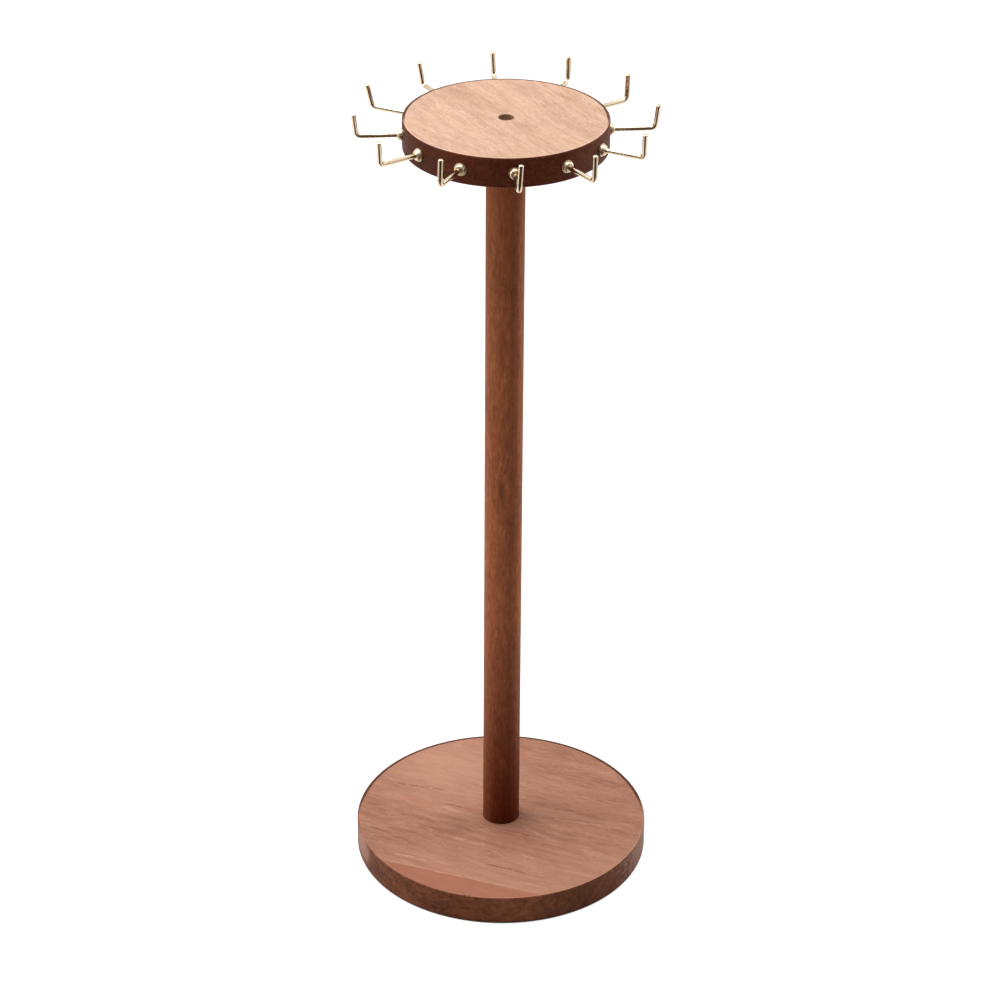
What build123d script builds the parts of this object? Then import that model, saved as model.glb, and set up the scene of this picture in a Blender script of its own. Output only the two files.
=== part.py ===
from build123d import *
from math import cos, radians, sin
import os

# A turning hook stand: wooden base, column and head, and brass screw hooks round the head's rim.
# Millimetres. +Z is up, and the origin is on the ground under the column's axis.

# Base and its feet
BASE_DIAMETER = 150.0
BASE_THICKNESS = 15.0
BASE_EDGE_RADIUS = 0.8
SOCKET_DEPTH = 5.0
SOCKET_CLEARANCE = 0.05
PAD_DIAMETER = 12.0
PAD_THICKNESS = 0.8
PAD_EDGE_INSET = 12.0
PAD_COUNT = 4
FIRST_PAD_ANGLE = 45.0

# Screw and washer that hold the column to the base
BASE_SCREW_DIAMETER = 5.0
BASE_SCREW_LENGTH = 40.0
BASE_SCREW_HEAD_DIAMETER = 9.2
BASE_SCREW_HEAD_HEIGHT = 3.2
BASE_SCREW_HEAD_ROUND = 1.2
BASE_SCREW_POINT_LENGTH = 5.0
BASE_SCREW_THREAD_PITCH = 2.2
BASE_SCREW_THREAD_DEPTH = 0.7
CROSS_SLOT_WIDTH = 1.2
CROSS_SLOT_LENGTH = 5.2
CROSS_SLOT_DEPTH = 1.8
BASE_WASHER_DIAMETER = 12.5
BASE_WASHER_THICKNESS = 1.0
BASE_SCREW_RECESS = 0.4

# Column
COLUMN_DIAMETER = 18.8
COLUMN_LENGTH = 381.0
COLUMN_EDGE_CHAMFER = 0.4

# Head
HEAD_DIAMETER = 97.2
HEAD_THICKNESS = 14.7
HEAD_EDGE_RADIUS = 0.8
HEAD_WEB = 6.7
HEAD_HOLE_CHAMFER = 0.2

# Pivot between the column and the head
INSERT_WALL = 1.4
INSERT_LENGTH = 10.0
INSERT_FLANGE_WIDTH = 0.8
INSERT_FLANGE_THICKNESS = 0.8
INSERT_THREAD_PITCH = 1.5
INSERT_THREAD_DEPTH = 0.4
PIVOT_SCREW_DIAMETER = 4.0
PIVOT_SCREW_GRIP = 8.0
PIVOT_SCREW_SHOULDER = 1.5
PIVOT_SCREW_HEAD_HEIGHT = 4.0
PIVOT_SCREW_HEAD_CHAMFER = 0.3
PIVOT_SCREW_THREAD_PITCH = 0.7
PIVOT_SCREW_THREAD_DEPTH = 0.35
PIVOT_SCREW_POINT_LENGTH = 0.6
HEX_SOCKET_FLATS = 3.0
HEX_SOCKET_DEPTH = 2.0
SLEEVE_WALL = 0.4
THRUST_WASHER_THICKNESS = 0.8
THRUST_WASHER_INSET = 1.4
HEAD_END_PLAY = 0.2

# Hooks, from the first one counter-clockwise: how far each is turned about its own shank (lean),
# and how far its upstand is bent outwards of square (splay), as hand-driven and hand-bent hooks are
WIRE_DIAMETER = 2.4
HOOK_REACH = 21.4
HOOK_RISE = 12.8
HOOK_BEND_RADIUS = 2.5
HOOK_TIP_ROUND = 0.5
HOOK_SHANK_DEPTH = 13.0
HOOK_THREAD_LENGTH = 11.0
HOOK_THREAD_PITCH = 1.0
HOOK_THREAD_DEPTH = 0.35
HOOK_POINT_LENGTH = 2.5
HOOK_LEANS = [4, 12, 15, 15, 10, 1, 4, 0, -10, -11, 2, -1]
HOOK_SPLAYS = [-4, -2, 5, 6, 9, -2, -4, 1, 5, 5, 4, 1]
FIRST_HOOK_ANGLE = 95.0

# Collars at the feet of the hooks
COLLAR_DIAMETER = 6.2
COLLAR_HEIGHT = 2.3
COLLAR_WALL = 0.5
COLLAR_RIM_THICKNESS = 0.6
COLLAR_RIM_WIDTH = 0.4

# Clearances
SCREW_CLEARANCE = 0.1
SEAT_CLEARANCE = 0.15
RUNNING_CLEARANCE = 0.05
HEAD_HOLE_CLEARANCE = 0.2
CRIMP_CLEARANCE = 0.02
HOLE_END_CLEARANCE = 1.0

# Worked out from the sizes above
HOOK_COUNT = len(HOOK_LEANS)
BASE_UNDERSIDE = PAD_THICKNESS
BASE_TOP = BASE_UNDERSIDE + BASE_THICKNESS
COLUMN_FOOT = BASE_TOP - SOCKET_DEPTH
COLUMN_TOP = COLUMN_FOOT + COLUMN_LENGTH
HEAD_UNDERSIDE = COLUMN_TOP + THRUST_WASHER_THICKNESS
HEAD_TOP = HEAD_UNDERSIDE + HEAD_THICKNESS
HOOK_HEIGHT = HEAD_UNDERSIDE + HEAD_THICKNESS / 2
BASE_RECESS_DEPTH = BASE_SCREW_RECESS + BASE_SCREW_HEAD_HEIGHT + BASE_WASHER_THICKNESS
BASE_WASHER_TOP = BASE_UNDERSIDE + BASE_RECESS_DEPTH
BASE_SCREW_SEAT = BASE_WASHER_TOP - BASE_WASHER_THICKNESS
INSERT_DIAMETER = PIVOT_SCREW_DIAMETER + 2 * (CRIMP_CLEARANCE + INSERT_WALL)
INSERT_FLANGE_DIAMETER = INSERT_DIAMETER + 2 * INSERT_FLANGE_WIDTH
SLEEVE_DIAMETER = PIVOT_SCREW_DIAMETER + 2 * (SCREW_CLEARANCE + SLEEVE_WALL)
PIVOT_SCREW_HEAD_DIAMETER = PIVOT_SCREW_DIAMETER + 2 * PIVOT_SCREW_SHOULDER
HEAD_HOLE_DIAMETER = PIVOT_SCREW_HEAD_DIAMETER + 2 * HEAD_HOLE_CLEARANCE
SLEEVE_LENGTH = THRUST_WASHER_THICKNESS + HEAD_WEB + HEAD_END_PLAY
PIVOT_SCREW_LENGTH = SLEEVE_LENGTH + PIVOT_SCREW_GRIP


def upright_cylinder(diameter, bottom, top):
    """A solid cylinder about the Z axis between two heights."""
    return Pos(0, 0, bottom) * Cylinder(
        diameter / 2, top - bottom, align=(Align.CENTER, Align.CENTER, Align.MIN)
    )


def disc_with_eased_edges(diameter, bottom, top, edge_radius):
    """A round board whose top and bottom rims are rounded over."""
    board = upright_cylinder(diameter, bottom, top)
    return fillet(board.edges().filter_by(GeomType.CIRCLE), edge_radius)


def turned(profile_points):
    """Turn a closed outline of (radius, height) points about the Z axis."""
    return revolve(make_face(Plane.XZ * Polyline(*profile_points, close=True)), Axis.Z)


def ribbed_edge(crest_radius, depth, pitch, start, length):
    """Outline points (radius, height) of a screw's ribs, from a height upwards."""
    root_radius = crest_radius - depth
    count = int(length / pitch)
    points = []
    for rib in range(count):
        foot = start + rib * pitch
        points += [(root_radius, foot), (crest_radius, foot + pitch * 0.4)]
        points += [(crest_radius, foot + pitch * 0.5), (root_radius, foot + pitch * 0.9)]
    return points


def around(count, first_angle, index):
    """The turn about Z that takes the +X direction to one place of a ring of equal steps."""
    return Rot(0, 0, first_angle + index * 360 / count)


# Base


def base_disc():
    board = disc_with_eased_edges(BASE_DIAMETER, BASE_UNDERSIDE, BASE_TOP, BASE_EDGE_RADIUS)
    socket = upright_cylinder(COLUMN_DIAMETER + 2 * SOCKET_CLEARANCE, COLUMN_FOOT, BASE_TOP)
    screw_hole = upright_cylinder(BASE_SCREW_DIAMETER + 2 * SCREW_CLEARANCE, BASE_UNDERSIDE, BASE_TOP)
    recess = upright_cylinder(BASE_WASHER_DIAMETER + 2 * SEAT_CLEARANCE, BASE_UNDERSIDE, BASE_WASHER_TOP)
    return board - socket - screw_hole - recess


def foot_pad(index):
    pad = upright_cylinder(PAD_DIAMETER, 0, PAD_THICKNESS)
    ring_radius = BASE_DIAMETER / 2 - PAD_EDGE_INSET
    return around(PAD_COUNT, FIRST_PAD_ANGLE, index) * Pos(ring_radius, 0, 0) * pad


def base_washer():
    ring = upright_cylinder(BASE_WASHER_DIAMETER, BASE_SCREW_SEAT, BASE_WASHER_TOP)
    hole = upright_cylinder(BASE_SCREW_DIAMETER + 2 * SCREW_CLEARANCE, BASE_SCREW_SEAT, BASE_WASHER_TOP)
    return ring - hole


def base_screw():
    """Pan-head wood screw, point up, with ribs for its thread and a cross slot in its head."""
    head = upright_cylinder(BASE_SCREW_HEAD_DIAMETER, -BASE_SCREW_HEAD_HEIGHT, 0)
    head = fillet(head.edges().group_by(Axis.Z)[0], BASE_SCREW_HEAD_ROUND)
    thread_start = BASE_WASHER_THICKNESS + COLUMN_FOOT - BASE_WASHER_TOP
    thread_length = BASE_SCREW_LENGTH - BASE_SCREW_POINT_LENGTH - thread_start
    crest = BASE_SCREW_DIAMETER / 2
    shank = turned(
        [(0, 0), (crest, 0), (crest, thread_start)]
        + ribbed_edge(crest, BASE_SCREW_THREAD_DEPTH, BASE_SCREW_THREAD_PITCH, thread_start, thread_length)
        + [(crest - BASE_SCREW_THREAD_DEPTH, thread_start + thread_length), (0, BASE_SCREW_LENGTH)]
    )
    slot = Box(CROSS_SLOT_LENGTH, CROSS_SLOT_WIDTH, 2 * CROSS_SLOT_DEPTH)
    slot += Box(CROSS_SLOT_WIDTH, CROSS_SLOT_LENGTH, 2 * CROSS_SLOT_DEPTH)
    screw = head + shank - Pos(0, 0, -BASE_SCREW_HEAD_HEIGHT) * slot
    return Pos(0, 0, BASE_SCREW_SEAT) * screw


# Column


def column():
    rod = upright_cylinder(COLUMN_DIAMETER, COLUMN_FOOT, COLUMN_TOP)
    rod = chamfer(rod.edges().filter_by(GeomType.CIRCLE), COLUMN_EDGE_CHAMFER)
    screw_tip = BASE_SCREW_SEAT + BASE_SCREW_LENGTH
    screw_hole = upright_cylinder(
        BASE_SCREW_DIAMETER + 2 * SCREW_CLEARANCE, COLUMN_FOOT, screw_tip + HOLE_END_CLEARANCE
    )
    insert_depth = max(INSERT_LENGTH, PIVOT_SCREW_GRIP) + HOLE_END_CLEARANCE
    insert_hole = upright_cylinder(
        INSERT_DIAMETER + 2 * CRIMP_CLEARANCE, COLUMN_TOP - insert_depth, COLUMN_TOP
    )
    flange_seat = upright_cylinder(
        INSERT_FLANGE_DIAMETER + 2 * SEAT_CLEARANCE, COLUMN_TOP - INSERT_FLANGE_THICKNESS, COLUMN_TOP
    )
    return rod - screw_hole - insert_hole - flange_seat


# Pivot


def threaded_insert():
    """Flanged brass insert, flush with the column's top, ribbed outside and bored for the screw."""
    bottom = COLUMN_TOP - INSERT_LENGTH
    flange_bottom = COLUMN_TOP - INSERT_FLANGE_THICKNESS
    crest = INSERT_DIAMETER / 2
    root = crest - INSERT_THREAD_DEPTH
    flange_radius = INSERT_FLANGE_DIAMETER / 2
    body = turned(
        [(0, bottom)]
        + ribbed_edge(crest, INSERT_THREAD_DEPTH, INSERT_THREAD_PITCH, bottom, flange_bottom - bottom)
        + [(root, flange_bottom), (flange_radius, flange_bottom), (flange_radius, COLUMN_TOP), (0, COLUMN_TOP)]
    )
    return body - upright_cylinder(PIVOT_SCREW_DIAMETER + 2 * CRIMP_CLEARANCE, bottom, COLUMN_TOP)


def thrust_washer():
    ring = upright_cylinder(COLUMN_DIAMETER - 2 * THRUST_WASHER_INSET, COLUMN_TOP, HEAD_UNDERSIDE)
    return ring - upright_cylinder(SLEEVE_DIAMETER + 2 * SCREW_CLEARANCE, COLUMN_TOP, HEAD_UNDERSIDE)


def pivot_sleeve():
    tube = upright_cylinder(SLEEVE_DIAMETER, COLUMN_TOP, COLUMN_TOP + SLEEVE_LENGTH)
    hole = upright_cylinder(
        PIVOT_SCREW_DIAMETER + 2 * SCREW_CLEARANCE, COLUMN_TOP, COLUMN_TOP + SLEEVE_LENGTH
    )
    return tube - hole


def pivot_screw():
    """Socket cap screw, point down, whose head clamps the sleeve to the column's insert."""
    head = upright_cylinder(PIVOT_SCREW_HEAD_DIAMETER, 0, PIVOT_SCREW_HEAD_HEIGHT)
    head = chamfer(head.edges().group_by(Axis.Z)[-1], PIVOT_SCREW_HEAD_CHAMFER)
    crest = PIVOT_SCREW_DIAMETER / 2
    root = crest - PIVOT_SCREW_THREAD_DEPTH
    thread_start = PIVOT_SCREW_POINT_LENGTH - PIVOT_SCREW_LENGTH
    thread_end = thread_start + PIVOT_SCREW_GRIP - PIVOT_SCREW_POINT_LENGTH
    shank = turned(
        [(0, -PIVOT_SCREW_LENGTH), (root - PIVOT_SCREW_THREAD_DEPTH, -PIVOT_SCREW_LENGTH)]
        + ribbed_edge(
            crest, PIVOT_SCREW_THREAD_DEPTH, PIVOT_SCREW_THREAD_PITCH, thread_start, thread_end - thread_start
        )
        + [(root, thread_end), (crest, thread_end + PIVOT_SCREW_THREAD_DEPTH), (crest, 0), (0, 0)]
    )
    socket = extrude(
        Pos(0, 0, PIVOT_SCREW_HEAD_HEIGHT) * RegularPolygon(HEX_SOCKET_FLATS / 2, 6, major_radius=False),
        -HEX_SOCKET_DEPTH,
    )
    return Pos(0, 0, COLUMN_TOP + SLEEVE_LENGTH) * (head + shank - socket)


# Head


def hook_place(index):
    """Where a hook goes in: on the rim at mid thickness, with local +X pointing out of the head."""
    return Pos(0, 0, HOOK_HEIGHT) * around(HOOK_COUNT, FIRST_HOOK_ANGLE, index) * Pos(HEAD_DIAMETER / 2, 0, 0)


def head_disc():
    board = disc_with_eased_edges(HEAD_DIAMETER, HEAD_UNDERSIDE, HEAD_TOP, HEAD_EDGE_RADIUS)
    board -= upright_cylinder(SLEEVE_DIAMETER + 2 * RUNNING_CLEARANCE, HEAD_UNDERSIDE, HEAD_TOP)
    board -= upright_cylinder(HEAD_HOLE_DIAMETER, HEAD_UNDERSIDE + HEAD_WEB, HEAD_TOP)
    mouth = board.edges().filter_by(GeomType.CIRCLE).group_by(Axis.Z)[-1].sort_by(SortBy.RADIUS)[0]
    board = chamfer(mouth, HEAD_HOLE_CHAMFER)
    drill = Cylinder(
        WIRE_DIAMETER / 2 + CRIMP_CLEARANCE,
        HOOK_SHANK_DEPTH + HOLE_END_CLEARANCE,
        rotation=(0, -90, 0),
        align=(Align.CENTER, Align.CENTER, Align.MIN),
    )
    for index in range(HOOK_COUNT):
        board -= hook_place(index) * drill
    return board


def hook(index):
    """Nearly square-bent brass wire: ribbed shank in the wood, straight arm, bend and upstand."""
    radius = WIRE_DIAMETER / 2
    thread_end = HOOK_THREAD_LENGTH - HOOK_SHANK_DEPTH
    splay = radians(HOOK_SPLAYS[index])
    tip = (HOOK_REACH + HOOK_RISE * sin(splay), HOOK_RISE * cos(splay))
    centre_line = Plane.XZ * FilletPolyline((thread_end, 0), (HOOK_REACH, 0), tip, radius=HOOK_BEND_RADIUS)
    wire = sweep(Plane(origin=centre_line @ 0, z_dir=centre_line % 0) * Circle(radius), centre_line)
    wire = fillet(wire.edges().group_by(Axis.Z)[-1], HOOK_TIP_ROUND)
    thread_start = HOOK_POINT_LENGTH - HOOK_SHANK_DEPTH
    root = radius - HOOK_THREAD_DEPTH
    thread = turned(
        [(0, -HOOK_SHANK_DEPTH)]
        + ribbed_edge(radius, HOOK_THREAD_DEPTH, HOOK_THREAD_PITCH, thread_start, thread_end - thread_start)
        + [(root, thread_end), (0, thread_end)]
    )
    return hook_place(index) * Rot(-HOOK_LEANS[index], 0, 0) * (wire + Rot(0, 90, 0) * thread)


def hook_collar(index):
    """Thin domed cup with a narrow flat rim, its open side on the head and the wire through it."""
    hole = WIRE_DIAMETER / 2 + CRIMP_CLEARANCE
    rim = COLLAR_DIAMETER / 2
    foot = rim - COLLAR_RIM_WIDTH
    nose = hole + COLLAR_WALL
    outline = Polyline((foot - COLLAR_WALL, 0), (rim, 0), (rim, COLLAR_RIM_THICKNESS), (foot, COLLAR_RIM_THICKNESS))
    outline += EllipticalCenterArc(
        (nose, COLLAR_RIM_THICKNESS),
        foot - nose,
        COLLAR_HEIGHT - COLLAR_RIM_THICKNESS,
        start_angle=0,
        arc_size=90,
    )
    outline += Polyline(
        (nose, COLLAR_HEIGHT),
        (hole, COLLAR_HEIGHT),
        (hole, COLLAR_HEIGHT - COLLAR_WALL),
        (nose, COLLAR_HEIGHT - COLLAR_WALL),
        (foot - COLLAR_WALL, COLLAR_RIM_THICKNESS),
        (foot - COLLAR_WALL, 0),
    )
    cup = revolve(make_face(Plane.XZ * outline), Axis.Z)
    return hook_place(index) * Rot(0, 90, 0) * cup


os.makedirs("parts", exist_ok=True)
pieces = {
    "base_disc": base_disc(),
    "base_washer": base_washer(),
    "base_screw": base_screw(),
    "column": column(),
    "threaded_insert": threaded_insert(),
    "thrust_washer": thrust_washer(),
    "pivot_sleeve": pivot_sleeve(),
    "pivot_screw": pivot_screw(),
    "head_disc": head_disc(),
}
for index in range(PAD_COUNT):
    pieces[f"foot_pad_{index + 1}"] = foot_pad(index)
for index in range(HOOK_COUNT):
    pieces[f"hook_{index + 1:02d}"] = hook(index)
    pieces[f"hook_collar_{index + 1:02d}"] = hook_collar(index)
for name, piece in pieces.items():
    export_step(piece, f"parts/{name}.step")
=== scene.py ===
import math

import bmesh
import bpy
import numpy as np
from mathutils import Euler, Matrix, Vector


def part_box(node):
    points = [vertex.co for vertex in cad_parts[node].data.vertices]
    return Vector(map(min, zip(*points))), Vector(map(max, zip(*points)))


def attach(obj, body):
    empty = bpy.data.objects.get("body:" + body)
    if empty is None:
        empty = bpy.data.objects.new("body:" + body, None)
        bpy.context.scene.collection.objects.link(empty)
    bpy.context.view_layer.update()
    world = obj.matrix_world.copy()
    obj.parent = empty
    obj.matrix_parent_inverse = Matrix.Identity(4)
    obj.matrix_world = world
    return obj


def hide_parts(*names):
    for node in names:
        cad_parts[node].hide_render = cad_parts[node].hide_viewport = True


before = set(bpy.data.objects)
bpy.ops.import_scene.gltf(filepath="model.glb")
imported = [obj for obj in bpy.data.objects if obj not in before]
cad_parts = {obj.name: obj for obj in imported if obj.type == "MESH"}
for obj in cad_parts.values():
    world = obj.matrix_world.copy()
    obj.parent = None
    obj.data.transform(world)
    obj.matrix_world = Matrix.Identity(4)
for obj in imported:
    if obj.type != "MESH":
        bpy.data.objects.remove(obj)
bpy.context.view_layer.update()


# Base board. A round of stained hardwood with eased edges and a thin dull finish, bored for the
# column on top and for the screw and its washer below. The rim took more stain than the faces,
# and it has a rubbed patch on one side and two small nicks in its top edge. Painted on it are a
# sheen at the back left of the top, highlights on the front right top edge and the far right of
# the rim, and shade on the back top edge, on the right of the rim and in the nicks.

MM = 0.001
base_low, base_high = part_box("base_disc")
column_low, column_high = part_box("column")
washer_low, washer_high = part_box("base_washer")
base_radius = base_high.x
board_ease = 0.8 * MM
socket_ease = 0.12 * MM
socket_radius = column_high.x + 0.05 * MM
screw_hole_radius = 2.6 * MM
washer_recess_radius = washer_high.x + 0.15 * MM
nick_width, nick_depth = 0.9 * MM, 0.6 * MM
nick_spots = []
for nick_turn in (math.radians(256.2), math.radians(257.9)):
    nick_place = (base_radius * math.cos(nick_turn), base_radius * math.sin(nick_turn), base_high.z)
    nick_spots.append(Vector(nick_place) / MM)


def eased_outline(corners, eases, steps=6):
    """Points of an outline of square corners (radius, height), taken in turn. Where a corner has an
    ease, a quarter arc of that radius joins its two sides, with one guard point beyond each end."""
    guard = 0.4 * MM
    corners = np.array(corners, float)
    along = np.roll(corners, -1, axis=0) - corners
    along /= np.linalg.norm(along, axis=1)[:, None]
    points = []
    for corner, before, after, ease in zip(corners, np.roll(along, 1, axis=0), along, eases):
        if not ease:
            points.append(corner[None])
            continue
        swing = np.linspace(0, np.pi / 2, steps + 1)[:, None]
        arc = corner - before * ease * (1 - np.sin(swing)) + after * ease * (1 - np.cos(swing))
        first, last = corner - before * (ease + guard), corner + after * (ease + guard)
        points += [first[None], arc, last[None]]
    return np.concatenate(points)


def skin(name, points, closed_outline=True):
    """A piece whose mesh covers a grid of points, rings by places round each ring. Every place is
    joined to the next one on its ring and to the same one on the next ring, and the last ring to
    the first if the outline is closed. A ring of no size becomes one point."""
    rings, places = points.shape[:2]
    here = np.arange(rings * places).reshape(rings, places)
    beside = np.roll(here, -1, axis=1)
    faces = np.stack([here, beside, np.roll(beside, -1, axis=0), np.roll(here, -1, axis=0)], axis=2)
    if not closed_outline:
        faces = faces[:-1]
    mesh = bpy.data.meshes.new(name)
    mesh.from_pydata(points.reshape(-1, 3).tolist(), [], faces.reshape(-1, 4).tolist())
    form = bmesh.new()
    form.from_mesh(mesh)
    bmesh.ops.remove_doubles(form, verts=form.verts, dist=1e-6)
    bmesh.ops.recalc_face_normals(form, faces=form.faces)
    form.to_mesh(mesh)
    form.free()
    mesh.shade_smooth()
    sharp_from = math.radians(34)
    mesh.set_sharp_from_angle(angle=sharp_from)
    piece = bpy.data.objects.new(name, mesh)
    bpy.context.scene.collection.objects.link(piece)
    return piece


def round_z(outline, segments):
    """An outline carried once round the Z axis: each (radius, height) becomes a ring of points at
    radius times (cosine, sine) of the turn, all at that height."""
    turn = np.linspace(0, 2 * np.pi, segments, endpoint=False)
    radius, height = outline[:, :1], outline[:, 1:]
    return np.stack([radius * np.cos(turn), radius * np.sin(turn), height + 0 * turn], axis=2)


def dented(points, place, width, depth):
    """Points near a place moved down and in towards the axis, at half a right angle, by about a
    depth that dies away from the place as a bell curve of that width."""
    near = np.exp(-np.sum((points - place) ** 2, axis=2) / width**2)[:, :, None]
    from_axis = np.maximum(np.linalg.norm(points[:, :, :2], axis=2), MM)[:, :, None]
    inward = -points * [1, 1, 0] / from_axis
    return points + near * depth * (0.7 * inward + [0, 0, -0.7])


class Flow:
    """A value running through a shader. Arithmetic on it adds Math nodes; node() adds any other."""

    def __init__(self, tree, socket=None):
        self.tree = tree
        self.socket = socket

    def node(self, kind, settings=None, inputs=None, output=0):
        """Adds a node of a kind: first its settings, then a number, colour or flow for each input."""
        made = self.tree.nodes.new("ShaderNode" + kind)
        for key, value in (settings or {}).items():
            setattr(made, key, value)
        for key, value in (inputs or {}).items():
            if isinstance(value, Flow):
                self.tree.links.new(value.socket, made.inputs[key])
            else:
                made.inputs[key].default_value = value
        return Flow(self.tree, made.outputs[output]) if made.outputs else None

    def maths(self, operation, first, second=0.0):
        """A Math node's operation on one or two values."""
        return self.node("Math", {"operation": operation}, {0: first, 1: second})

    def __add__(self, other):
        return self.maths("ADD", self, other)

    def __radd__(self, other):
        return self.maths("ADD", other, self)

    def __sub__(self, other):
        return self.maths("SUBTRACT", self, other)

    def __rsub__(self, other):
        return self.maths("SUBTRACT", other, self)

    def __mul__(self, other):
        return self.maths("MULTIPLY", self, other)

    def __rmul__(self, other):
        return self.maths("MULTIPLY", other, self)

    def __pow__(self, power):
        return self.maths("POWER", self, power)

    def rise(self, low, high):
        """0 below low and 1 above high, with a smooth step between, or the other way round if low
        is the larger one."""
        if low > high:
            return 1 - self.rise(high, low)
        inputs = {"Value": self, "From Min": low, "From Max": high}
        return self.node("MapRange", {"interpolation_type": "SMOOTHSTEP"}, inputs)

    def mixed(self, first, second):
        """A colour between two, by this flow: the first at 0 and the second at 1."""
        inputs = {0: self, 6: first, 7: second}
        return self.node("Mix", {"data_type": "RGBA"}, inputs, output=2)

    def point(self, x, y, z):
        """A vector from three values."""
        return self.node("CombineXYZ", None, {0: x, 1: y, 2: z})

    def noise(self, x, y, z, detail=2.0, roughness=0.5):
        """Soft noise about 0, from about -1 to 1, over a point."""
        inputs = {"Vector": self.point(x, y, z), "Scale": 1.0, "Detail": detail, "Roughness": roughness}
        return self.node("TexNoise", None, inputs) * 4.0 - 2.0


def colour(red, green, blue):
    """An opaque colour from the linear strengths of its light."""
    return (red, green, blue, 1.0)


def new_material(name):
    """An empty material and the flow that adds its nodes."""
    material = bpy.data.materials.new(name)
    material.use_nodes = True
    material.node_tree.nodes.clear()
    return material, Flow(material.node_tree)


def finish_surface(flow, inputs, height, relief):
    """Adds the shader and its output, with a height in units of the relief as bump."""
    bump = {"Height": height, "Distance": relief, "Strength": 1.0}
    inputs = {**inputs, "Normal": flow.node("Bump", None, bump)}
    shader = flow.node("BsdfPrincipled", None, inputs)
    flow.node("OutputMaterial", None, {"Surface": shader})


def object_place(flow):
    """The piece's own coordinates in millimetres."""
    spot = flow.node("TexCoord", None, None, "Object")
    return [flow.node("SeparateXYZ", None, {0: spot}, axis) * (1 / MM) for axis in "XYZ"]


def grain_of_board(x, y, z, turn, shift):
    """Coordinates along the grain, across it and through the board, for a grain turned this many
    degrees from X. The shift takes each board from a different part of the log."""
    turn = math.radians(turn)
    along = x * math.cos(turn) + y * math.sin(turn) + shift
    across = y * math.cos(turn) - x * math.sin(turn)
    return along, across, z + shift


def wood_figure(flow, along, across, through, heart):
    """The figure of the wood over its grain coordinates: its tone, from 0 for deep to 1 for pale,
    its warmth, its dark pores, its pale rays and the height of its surface. Its growth layers lie
    round the heart of the log, a line this far across and through."""
    wander = flow.noise(along * 0.012, across * 0.03, through * 0.03)
    curl = flow.noise(along * 0.06, across * 0.10, through * 0.10 + 31.0)
    across = across + wander * 3.5 + curl * 0.7
    layers = ((across - heart[0]) ** 2.0 + (through - heart[1]) ** 2.0) ** 0.5
    growth = flow.noise(layers * 0.30, along * 0.006, 0.0, 2.0, 0.6)
    cloud = flow.noise(along * 0.02, across * 0.06, through * 0.06 + 7.0, 2.0)
    fibre = flow.noise(along * 0.10, across * 1.1, through * 1.1, 4.0, 0.70)
    fine = flow.noise(along * 0.9, across * 3.0, through * 3.0 + 3.0, 2.0, 0.7)
    pores = flow.noise(along * 0.26, across * 1.9, through * 1.9 + 11.0, 1.0).rise(0.45, 0.80)
    patch = flow.noise(along * 0.03, across * 0.07, through * 0.07 + 19.0, 1.0).rise(-0.3, 0.4)
    rays = flow.noise(along * 0.16, across * 1.2, through * 1.2 + 23.0, 2.0).rise(0.30, 0.75) * patch
    ripple = flow.noise(along * 0.07 + across * 0.03, across * 0.34, through * 0.34 + 43.0, 2.0, 0.6)
    tone = growth * 0.16 + cloud * 0.13 + ripple * 0.14 + fibre * 0.20 + fine * 0.14 + 0.5
    height = ripple * 0.4 + fibre * 0.35 + fine * 0.25 - pores * 0.9
    return tone, cloud, pores, rays, height


def wood_colour(tone, warmth, pores, rays, deep, pale, red):
    """Deep to pale by the tone, with a redder stain where it is warm, dark pores and pale rays."""
    stain = tone.rise(0.0, 1.0).mixed(deep, pale)
    stain = (warmth.rise(0.0, 1.2) * 0.5).mixed(stain, red)
    stain = (pores * 0.34).mixed(stain, colour(deep[0] * 0.45, deep[1] * 0.4, deep[2] * 0.35))
    return (rays * 0.38).mixed(stain, colour(pale[0] * 1.25, pale[1] * 1.3, pale[2] * 1.35))


def marked(flow, stain, x, y, wobble, marks, tint, strength):
    """A stain with thin marks in a tint. Each mark is a start, an end and a width on the board, in
    millimetres: it wanders by the wobble, has a frayed edge and fades at its ends."""
    total = 0.0
    frayed = flow.noise(x * 0.7, y * 0.7, 14.0, 2.0, 0.7) * 0.35
    for start, end, width in marks:
        length = math.dist(start, end)
        run_x, run_y = (end[0] - start[0]) / length, (end[1] - start[1]) / length
        along = (x - start[0]) * run_x + (y - start[1]) * run_y
        off = flow.maths("ABSOLUTE", (y - start[1]) * run_x - (x - start[0]) * run_y + wobble) + frayed
        ends = along.rise(-3.0, 4.0) * along.rise(length + 3.0, length - 5.0)
        total = off.rise(width * 1.3, 0.0) * ends + total
    broken = flow.noise(x * 0.20, y * 0.20, 5.0, 2.0).rise(-0.8, 0.5)
    return (total * broken * strength).mixed(stain, tint)


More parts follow.
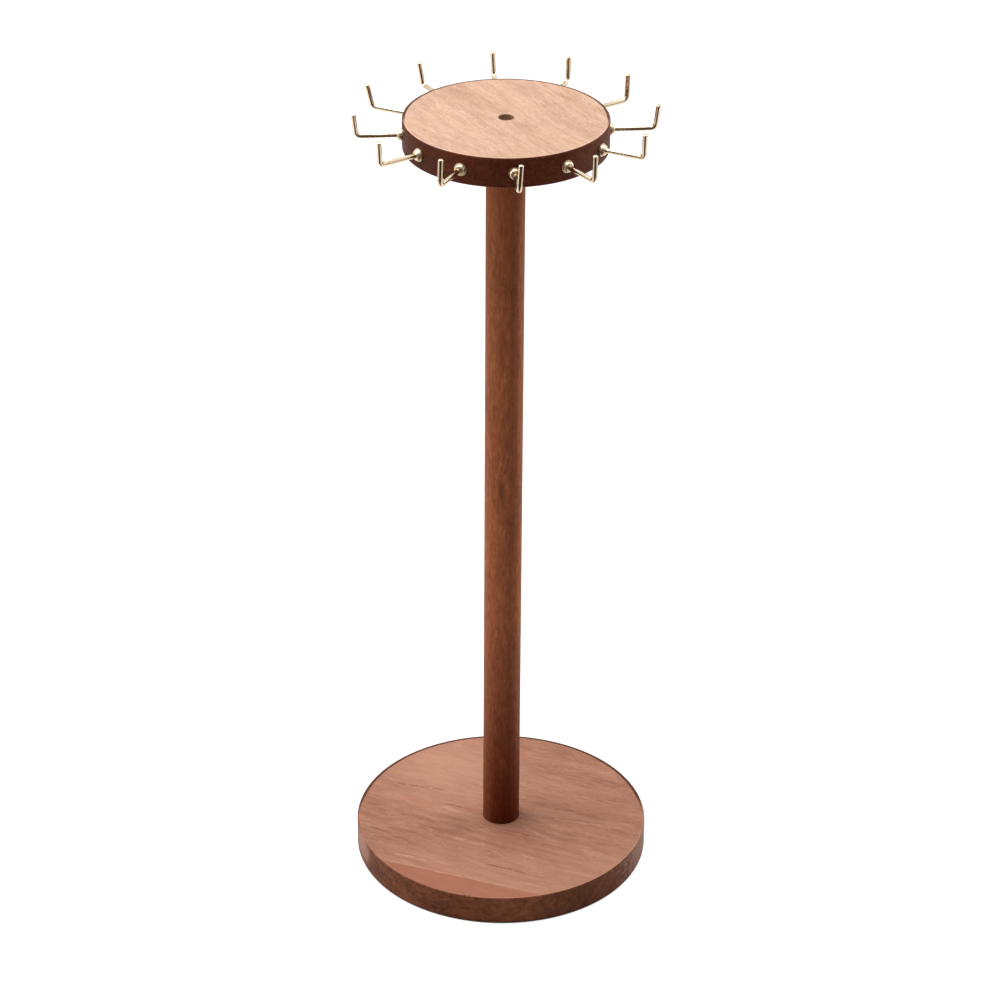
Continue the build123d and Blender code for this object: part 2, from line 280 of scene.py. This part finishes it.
def base_wood():
    """The stained wood of the base: pale and marked on its top face, dark and mottled on its rim."""
    material, flow = new_material("base_wood_stained")
    x, y, z = object_place(flow)
    along, across, through = grain_of_board(x, y, z, -23.0, 0.0)
    tone, warmth, pores, rays, height = wood_figure(flow, along, across, through, (35.0, -60.0))
    pale = colour(0.430, 0.213, 0.139)
    deep = colour(0.228, 0.092, 0.056)
    red = colour(0.312, 0.112, 0.066)
    stain = wood_colour(tone, warmth, pores, rays, deep, pale, red)
    # on the top face: paler towards the front edge, and a painted sheen at the back left
    top = base_high.z / MM
    upper = z.rise(top - 9.0, top - 4.0)
    paler = (y + warmth * 8.0).rise(-15.0, -65.0) * upper * 0.34
    stain = paler.mixed(stain, colour(0.480, 0.250, 0.165))
    sheen = (((x + 26.0) ** 2.0 + (y - 42.0) ** 2.0 * 0.8) ** 0.5 + warmth * 6.0).rise(52.0, 6.0)
    stain = (sheen * upper * 0.42).mixed(stain, colour(0.520, 0.285, 0.195))
    # a redder strip of board along the front left, up to a straight line with a pale edge
    slope = y + x * 0.364
    front = (slope + tone * 0.8).rise(-63.0, -64.5)
    stain = (front * upper * 0.55).mixed(stain, colour(0.290, 0.090, 0.050))
    glow = ((x - 6.0) ** 2.0 * 0.5 + (y + 24.0) ** 2.0) ** 0.5
    stain = ((glow + warmth * 5.0).rise(17.0, 4.0) * 0.30).mixed(stain, red)
    wobble = flow.noise(x * 0.10, y * 0.10, 0.0, 3.0, 0.6) * 0.9
    pale_marks = [
        ((-60.0, -41.7), (13.3, -68.3), 0.8),
        ((-34.2, 7.5), (-12.0, -2.5), 1.3),
        ((-57.0, -8.0), (-43.0, -11.0), 1.4),
        ((-45.0, -10.5), (-32.0, -17.0), 1.4),
        ((-27.5, -20.8), (-3.3, -30.0), 1.5),
        ((8.3, -35.8), (25.8, -45.0), 1.2),
        ((38.3, -6.7), (63.3, -13.3), 1.1),
        ((13.3, -13.3), (30.0, -25.8), 1.1),
        ((-53.3, -36.7), (-25.0, -46.7), 1.1),
    ]
    dark_marks = [
        ((-58.0, 28.5), (-30.0, 21.6), 0.8),
        ((-33.0, 10.0), (-17.0, 4.5), 0.7),
        ((-67.5, -12.5), (-60.0, -17.5), 0.9),
        ((-8.0, -45.0), (14.0, -53.5), 0.7),
        ((2.0, -14.0), (22.0, -23.0), 0.6),
    ]
    stain = marked(flow, stain, x, y, wobble, pale_marks, colour(0.54, 0.31, 0.225), upper * 0.42)
    stain = marked(flow, stain, x, y, wobble, dark_marks, colour(0.12, 0.038, 0.022), upper * 0.65)
    # the rim: darker and mottled, with a rubbed pale patch
    radius = (x * x + y * y) ** 0.5
    edge = base_radius / MM
    front_side = y.rise(20.0, -5.0)
    # at the back the dark rim colour reaches further onto the top face, as a painted shade line
    rim = (radius + (1 - front_side) * 1.5).rise(edge - 0.75, edge - 0.35)
    speckle = flow.noise(x * 0.40, y * 0.40, z * 0.40, 4.0, 0.75)
    rim_stain_and_shading = (speckle * 0.32 + tone).rise(-0.1, 1.1).mixed(
        colour(0.083, 0.024, 0.010), colour(0.284, 0.096, 0.042)
    )
    # a darker band along the back top edge and a darker right side of the rim are painted shade
    top_edge = z.rise(top - 1.3, top - 0.5)
    rim_stain_and_shading = ((1 - front_side) * top_edge * 0.8).mixed(rim_stain_and_shading, colour(0.075, 0.032, 0.022))
    rim_stain_and_shading = (x.rise(10.0, 45.0) * 0.45).mixed(rim_stain_and_shading, colour(0.060, 0.018, 0.008))
    # a pale patch at the far right of the front rim is a painted highlight
    right = (x + speckle * 9.0).rise(58.0, 74.0)
    rim_stain_and_shading = (right * front_side * 0.65).mixed(rim_stain_and_shading, colour(0.36, 0.20, 0.15))
    rub = ((x + 71.5) ** 2.0 + (y + 22.0) ** 2.0 * 0.35 + (z - 11.0) ** 2.0) ** 0.5
    rub = (rub + speckle * 2.5).rise(9.0, 4.0)
    rim_stain_and_shading = (rub * 0.8).mixed(rim_stain_and_shading, colour(0.42, 0.22, 0.16))
    stain = rim.mixed(stain, rim_stain_and_shading)
    # a painted highlight along the front right top edge
    highlight_side = front_side * (x + speckle * 15.0).rise(-50.0, -10.0)
    edge_highlight = radius.rise(edge - 0.95, edge - 0.70) * radius.rise(edge - 0.30, edge - 0.50) * highlight_side
    stain = (edge_highlight * 0.55).mixed(stain, colour(0.50, 0.26, 0.18))
    # each nick is painted dark, as painted shade in the dent
    for spot in nick_spots:
        away = ((x - spot.x) ** 2.0 + (y - spot.y) ** 2.0 + (z - spot.z) ** 2.0) ** 0.5
        stain = (away.rise(1.5, 0.5) * 0.8).mixed(stain, colour(0.045, 0.016, 0.009))
    rough = height * 0.08 + 0.52
    inputs = {"Base Color": stain, "Roughness": rough, "Specular IOR Level": 0.07}
    finish_surface(flow, inputs, height, 0.05 * MM)
    return material


outline = eased_outline(
    [
        (washer_recess_radius, washer_high.z),
        (washer_recess_radius, base_low.z),
        (base_radius, base_low.z),
        (base_radius, base_high.z),
        (socket_radius, base_high.z),
        (socket_radius, column_low.z),
        (screw_hole_radius, column_low.z),
        (screw_hole_radius, washer_high.z),
    ],
    [0, 0, board_ease, board_ease, socket_ease, 0, 0, 0],
)
board = round_z(outline, 720)
for spot in nick_spots:
    board = dented(board, np.array(spot * MM), nick_width, nick_depth)
base_board = skin("base_board", board)
base_board.data.materials.append(base_wood())
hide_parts("base_disc")
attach(base_board, "stand")


# Foot pads. Four discs of pressed dark felt glued under the board near its rim, which keep it
# steady and off the table.


def felt():
    """Dark felt with a fuzz of fine noise."""
    material, flow = new_material("pressed_felt")
    x, y, z = object_place(flow)
    fuzz = flow.noise(x * 2.5, y * 2.5, z * 2.5, 4.0, 0.75)
    stain = fuzz.rise(-1.0, 1.0).mixed(colour(0.030, 0.026, 0.024), colour(0.075, 0.066, 0.060))
    inputs = {"Base Color": stain, "Roughness": 0.95}
    finish_surface(flow, inputs, fuzz, 0.15 * MM)
    return material


felt_material = felt()
pad_count = 4
for number in range(1, pad_count + 1):
    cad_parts[f"foot_pad_{number}"].data.materials[0] = felt_material


# Base screw and washer. A pan-head wood screw of zinc-plated steel through a plain washer in the
# board's recess, up into the foot of the column.


def plated_steel():
    """Zinc-plated steel, faintly clouded and brushed."""
    material, flow = new_material("zinc_plated_steel")
    x, y, z = object_place(flow)
    cloud = flow.noise(x * 0.6, y * 0.6, z * 0.6, 3.0)
    brushed = flow.noise(x * 6.0, y * 6.0, z * 1.5, 2.0)
    stain = cloud.rise(-1.0, 1.0).mixed(colour(0.45, 0.46, 0.48), colour(0.60, 0.60, 0.60))
    rough = cloud * 0.06 + 0.32
    inputs = {"Base Color": stain, "Metallic": 1.0, "Roughness": rough}
    finish_surface(flow, inputs, brushed, 0.01 * MM)
    return material


steel_material = plated_steel()
for name in ("base_washer", "base_screw", "pivot_screw"):
    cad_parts[name].data.materials[0] = steel_material


# Column. A straight turned rod of the same wood, its grain running up it, let into the base and
# held by the screw below. Its top end is bored for the threaded insert.

insert_low, insert_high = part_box("threaded_insert")
screw_low, screw_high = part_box("base_screw")
column_radius = column_high.x
column_ease = 0.4 * MM
flange_thickness = 0.8 * MM
flange_overhang = 0.95 * MM
hole_spare = 1.0 * MM
insert_seat_radius = insert_high.x + 0.15 * MM
insert_hole_radius = insert_seat_radius - flange_overhang


def column_wood():
    """The stained wood of the column, redder and darker than the boards, with painted shade at its
    foot, down its front right and under the head.
    """
    material, flow = new_material("column_wood_stained")
    x, y, z = object_place(flow)
    # a small knot at the front turns the grain aside
    knot = ((x + 1.0) ** 2.0 * 1.6 + (z - 213.0) ** 2.0 * 0.12) ** 0.5
    knot_near = knot.rise(8.0, 0.0) * y.rise(0.0, -4.0)
    tone, warmth, pores, rays, height = wood_figure(
        flow, z + knot_near * 6.0, x + knot_near * 5.0, y, (22.0, 30.0)
    )
    pale = colour(0.440, 0.140, 0.055)
    deep = colour(0.232, 0.064, 0.022)
    red = colour(0.345, 0.087, 0.033)
    stain = wood_colour(tone, warmth, pores, rays, deep, pale, red)
    mottle = flow.noise(x * 0.35, y * 0.35, z * 0.12, 3.0, 0.65)
    stain = (mottle.rise(-0.1, 1.4) * 0.8).mixed(stain, colour(0.170, 0.056, 0.024))
    # a stripe of painted shade down the front right
    shade_stripe = (x + mottle * 0.5).rise(1.6, 4.0) * (x + mottle * 0.5).rise(7.8, 6.0) * y.rise(2.0, -3.0)
    stain = (shade_stripe * 0.55).mixed(stain, colour(0.150, 0.042, 0.016))
    # the painted shadow of the head on the top of the column
    stain = (z.rise(335.0, 392.0) * 0.72).mixed(stain, colour(0.215, 0.058, 0.020))
    # painted shade at the foot, where the base hides the lit floor, weaker on the left side
    foot_shade = z.rise(170.0, 10.0) * (x.rise(-8.5, -3.0) * 0.35 + 0.58)
    stain = foot_shade.mixed(stain, colour(0.100, 0.018, 0.006))
    stain = (knot.rise(3.2, 0.5) * y.rise(0.0, -4.0) * 0.5).mixed(stain, colour(0.10, 0.03, 0.014))
    # the open grain drank the stain unevenly, which leaves pale and dark flecks all over
    flecks = flow.noise(x * 0.70, y * 0.70, z * 0.24, 3.0, 0.72)
    shade = flecks.rise(-0.85, 0.85).mixed(colour(0.82, 0.77, 0.74), colour(1.19, 1.23, 1.26))
    multiply = {"data_type": "RGBA", "blend_type": "MULTIPLY"}
    stain = flow.node("Mix", multiply, {0: 1.0, 6: stain, 7: shade}, output=2)
    inputs = {"Base Color": stain, "Roughness": height * 0.08 + 0.50, "Specular IOR Level": 0.07}
    finish_surface(flow, inputs, height, 0.05 * MM)
    return material


outline = eased_outline(
    [
        (0.0, insert_low.z - hole_spare),
        (insert_hole_radius, insert_low.z - hole_spare),
        (insert_hole_radius, insert_high.z - flange_thickness),
        (insert_seat_radius, insert_high.z - flange_thickness),
        (insert_seat_radius, column_high.z),
        (column_radius, column_high.z),
        (column_radius, column_low.z),
        (screw_hole_radius, column_low.z),
        (screw_hole_radius, screw_high.z + hole_spare),
        (0.0, screw_high.z + hole_spare),
    ],
    [0, 0, 0, 0, 0, column_ease, column_ease, 0, 0, 0],
    steps=4,
)
column_rod = skin("column_rod", round_z(outline, 128), closed_outline=False)
column_rod.data.materials.append(column_wood())
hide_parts("column")
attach(column_rod, "stand")


# Pivot. A brass insert in the column's end takes a steel cap screw, which clamps a brass sleeve;
# the head turns on the sleeve and rests on a nylon washer.


def brass(name, satin):
    """Polished to tarnished brass, as rough as its satin says."""
    material, flow = new_material(name)
    x, y, z = object_place(flow)
    tarnish = flow.noise(x * 0.5, y * 0.5, z * 0.5, 3.0)
    scratches = flow.noise(x * 5.0, y * 5.0, z * 5.0, 2.0)
    stain = tarnish.rise(-1.2, 1.2).mixed(colour(0.78, 0.60, 0.40), colour(0.90, 0.76, 0.56))
    rough = tarnish * 0.04 + satin
    inputs = {"Base Color": stain, "Metallic": 1.0, "Roughness": rough}
    finish_surface(flow, inputs, scratches, 0.004 * MM)
    return material


def nylon():
    """White nylon, slightly clouded."""
    material, flow = new_material("white_nylon")
    x, y, z = object_place(flow)
    cloud = flow.noise(x * 0.4, y * 0.4, z * 0.4, 3.0)
    stain = cloud.rise(-1.0, 1.0).mixed(colour(0.66, 0.65, 0.60), colour(0.76, 0.75, 0.71))
    inputs = {"Base Color": stain, "Roughness": cloud * 0.05 + 0.42}
    finish_surface(flow, inputs, cloud, 0.02 * MM)
    return material


fitting_brass = brass("fitting_brass", 0.20)
for name in ("threaded_insert", "pivot_sleeve"):
    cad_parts[name].data.materials[0] = fitting_brass
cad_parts["thrust_washer"].data.materials[0] = nylon()


# Head board. A smaller round of the same wood that turns on the pivot, with a hole in its top for
# the pivot screw. Its rim is darkest, partly from stain and partly from painted shade, and its top
# face is palest, partly from a painted sheen.

head_low, head_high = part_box("head_disc")
sleeve_low, sleeve_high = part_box("pivot_sleeve")
cap_low, cap_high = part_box("pivot_screw")
head_radius = head_high.x
head_web_thickness = 6.7 * MM
head_web_top = head_low.z + head_web_thickness
head_hole_ease = 0.2 * MM
head_hole_radius = cap_high.x + 0.2 * MM
head_bore_radius = sleeve_high.x + 0.05 * MM


def head_wood():
    """The stained wood of the head: palest of all on its top face, partly from a painted sheen, and
    darkest on its rim, partly from painted shade.
    """
    material, flow = new_material("head_wood_stained")
    x, y, z = object_place(flow)
    along, across, through = grain_of_board(x, y, z - 392.0, -58.0, 300.0)
    tone, warmth, pores, rays, height = wood_figure(flow, along, across, through, (-30.0, 250.0))
    tone = flow.noise(x * 0.9, y * 0.9, z * 0.9, 3.0, 0.7) * 0.14 + tone
    # these pale colours hold a painted sheen on the top face as well as the wood's own tone
    pale = colour(0.545, 0.365, 0.262)
    deep = colour(0.320, 0.180, 0.116)
    red = colour(0.410, 0.225, 0.140)
    stain = wood_colour(tone, warmth, pores, rays, deep, pale, red)
    wobble = flow.noise(x * 0.12, y * 0.12, 40.0, 3.0, 0.6)
    pale_marks = [
        ((-21.8, 37.7), (-8.5, 16.0), 0.7),
        ((-30.0, 5.0), (-24.0, -5.0), 0.8),
        ((8.0, -14.0), (22.0, -31.0), 0.6),
    ]
    dark_marks = [((25.0, 30.0), (34.0, 18.0), 1.8), ((-43.0, -9.0), (-31.0, -26.0), 1.0)]
    top = head_high.z / MM
    upper = z.rise(top - 9.0, top - 4.0)
    stain = marked(flow, stain, x, y, wobble, pale_marks, colour(0.60, 0.36, 0.25), upper * 0.40)
    stain = marked(flow, stain, x, y, wobble, dark_marks, colour(0.24, 0.10, 0.05), upper * 0.40)
    radius = (x * x + y * y) ** 0.5
    edge = head_radius / MM
    back_side = y.rise(-15.0, 5.0)
    # at the back the dark rim colour reaches further onto the top face, as a painted shade line
    rim = (radius + back_side * 1.1).rise(edge - 0.75, edge - 0.35)
    speckle = flow.noise(x * 0.5, y * 0.5, z * 0.6, 3.0, 0.7)
    # the rim's dark colours are partly stain and partly painted shade
    rim_stain_and_shading = (speckle * 0.3 + tone).rise(-0.1, 1.2).mixed(
        colour(0.070, 0.014, 0.005), colour(0.176, 0.044, 0.017)
    )
    # a darker band along the back top edge and a darker left side of the rim are painted shade
    top_edge = z.rise(top - 1.3, top - 0.5)
    rim_stain_and_shading = (back_side * top_edge * 0.8).mixed(rim_stain_and_shading, colour(0.085, 0.032, 0.020))
    rim_stain_and_shading = (x.rise(-15.0, -42.0) * 0.6).mixed(rim_stain_and_shading, colour(0.055, 0.012, 0.004))
    stain = rim.mixed(stain, rim_stain_and_shading)
    # a painted highlight along the front top edge
    edge_highlight = radius.rise(edge - 1.0, edge - 0.75) * radius.rise(edge - 0.25, edge - 0.50)
    stain = (edge_highlight * (1 - back_side) * 0.55).mixed(stain, colour(0.72, 0.46, 0.37))
    # the wall of the screw hole is painted darker brown, as painted shade in the hole
    hole = radius.rise(head_hole_radius / MM + 0.1, head_hole_radius / MM - 0.1)
    stain = (hole * 0.6).mixed(stain, colour(0.30, 0.11, 0.055))
    inputs = {"Base Color": stain, "Roughness": height * 0.07 + 0.48, "Specular IOR Level": 0.07}
    finish_surface(flow, inputs, height, 0.05 * MM)
    return material


outline = eased_outline(
    [
        (head_bore_radius, head_web_top),
        (head_bore_radius, head_low.z),
        (head_radius, head_low.z),
        (head_radius, head_high.z),
        (head_hole_radius, head_high.z),
        (head_hole_radius, head_web_top),
    ],
    [0, 0, board_ease, board_ease, head_hole_ease, 0],
)
head_board = skin("head_board", round_z(outline, 540))
head_board.data.materials.append(head_wood())
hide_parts("head_disc")
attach(head_board, "head")


# Hooks and collars. Twelve screw hooks of brass wire, bent square and driven into the rim by hand,
# so each leans a little its own way. A thin domed collar covers each hole.

wire_brass = brass("wire_brass", 0.17)
collar_brass = brass("collar_brass", 0.38)
hook_count = 12
for number in range(1, hook_count + 1):
    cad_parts[f"hook_{number:02d}"].data.materials[0] = wire_brass
    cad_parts[f"hook_collar_{number:02d}"].data.materials[0] = collar_brass


# Stage. A plain white floor that stays white to the camera, pale walls behind and a darker room in
# front. One large soft lamp hangs above and a small one stands at each side. Last is the camera.


def floor_material():
    """A floor that is white to the camera outside the base and pale to other rays, but dark to
    glossy rays that meet it in a wedge in front, where the room is unlit."""
    material, flow = new_material("white_floor")
    x, y, z = object_place(flow)
    reach = ((x * x + y * y) ** 0.5) * MM
    sheet = (reach.rise(0.9, 1.8) * y.rise(200.0, -100.0)).mixed(
        colour(0.80, 0.80, 0.80), colour(0.10, 0.10, 0.10)
    )
    matt = flow.node("BsdfDiffuse", None, {"Color": sheet})
    dark = flow.node("BsdfDiffuse", None, {"Color": colour(0.055, 0.026, 0.015)})
    seen_matt = flow.node("BsdfDiffuse", None, {"Color": colour(0.30, 0.30, 0.30)})
    lit = reach.rise(base_radius - 1.2 * MM, base_radius - 0.3 * MM) * 0.92
    glow = flow.node("Emission", None, {"Color": colour(1, 1, 1), "Strength": lit})
    seen = flow.node("AddShader", None, {0: seen_matt, 1: glow})
    frontwards = flow.maths("DIVIDE", y * -MM, reach + 0.02)
    glossy = flow.node("LightPath", None, None, "Is Glossy Ray") * frontwards.rise(0.55, 0.85)
    direct = flow.node("LightPath", None, None, "Is Camera Ray")
    mix = flow.node("MixShader", None, {0: glossy, 1: matt, 2: dark})
    mix = flow.node("MixShader", None, {0: direct, 1: mix, 2: seen})
    flow.node("OutputMaterial", None, {"Surface": mix})
    return material


floor_rings = np.array([[0.0, 0.0], [2.0, 0.0], [8.0, 0.0]])
floor = skin("floor", round_z(floor_rings, 64), closed_outline=False)
if floor.data.polygons[0].normal.z < 0:
    floor.data.flip_normals()
floor.data.materials.append(floor_material())

world = bpy.data.worlds.new("studio")
bpy.context.scene.world = world
world.use_nodes = True
world.node_tree.nodes.clear()
flow = Flow(world.node_tree)
look = flow.node("TexCoord", None, None, "Generated")
back, up = [flow.node("SeparateXYZ", None, {0: look}, axis) for axis in "YZ"]
walls = back.rise(-0.20, 0.45) * 0.50
level = walls + up.rise(0.5, 1.0) * 0.35 + 0.06
bright_walls = back.rise(-0.75, -0.15) * 0.85 + 0.10
glossy_ray = flow.node("LightPath", None, None, "Is Glossy Ray")
level = glossy_ray * bright_walls + (1 - glossy_ray) * level
camera_ray = flow.node("LightPath", None, None, "Is Camera Ray")
level = camera_ray * 1.2 + (1 - camera_ray) * level
background = flow.node("Background", None, {"Color": colour(1, 1, 1), "Strength": level})
flow.node("OutputWorld", None, {"Surface": background})


def soft_lamp(name, place, target, width, height, power):
    """A soft rectangular lamp at a place, turned to face a target."""
    data = bpy.data.lights.new(name, "AREA")
    data.shape = "RECTANGLE"
    data.size = width
    data.size_y = height
    data.energy = power
    lamp = bpy.data.objects.new(name, data)
    place, target = Vector(place), Vector(target)
    facing = (target - place).to_track_quat("-Z", "Y").to_matrix().to_4x4()
    lamp.matrix_world = Matrix.Translation(place) @ facing
    bpy.context.scene.collection.objects.link(lamp)


soft_lamp("overhead_lamp", (-0.25, 0.12, 1.50), (0.0, 0.0, 0.2), 1.0, 1.0, 22.0)
soft_lamp("left_lamp", (-0.78, -0.10, 0.50), (0.0, 0.0, 0.30), 0.35, 0.7, 2.0)
soft_lamp("right_lamp", (0.75, 0.25, 0.50), (0.0, 0.0, 0.30), 0.35, 0.7, 2.7)

camera_place = Vector((0, -1.4204, 0.99335))
camera_dip, camera_turn, camera_roll = [math.radians(angle) for angle in (29.076, 0.067, 0.393)]
camera_data = bpy.data.cameras.new("camera")
camera_data.lens = 118.13
camera_data.sensor_width = 36.0
camera_data.clip_end = 50.0
camera = bpy.data.objects.new("camera", camera_data)
facing = Euler((math.pi / 2 - camera_dip, 0, camera_turn)).to_matrix().to_4x4()
roll = Matrix.Rotation(camera_roll, 4, "Z")
camera.matrix_world = Matrix.Translation(camera_place) @ facing @ roll
bpy.context.scene.collection.objects.link(camera)
bpy.context.scene.camera = camera
bpy.context.scene.view_settings.view_transform = "Standard"
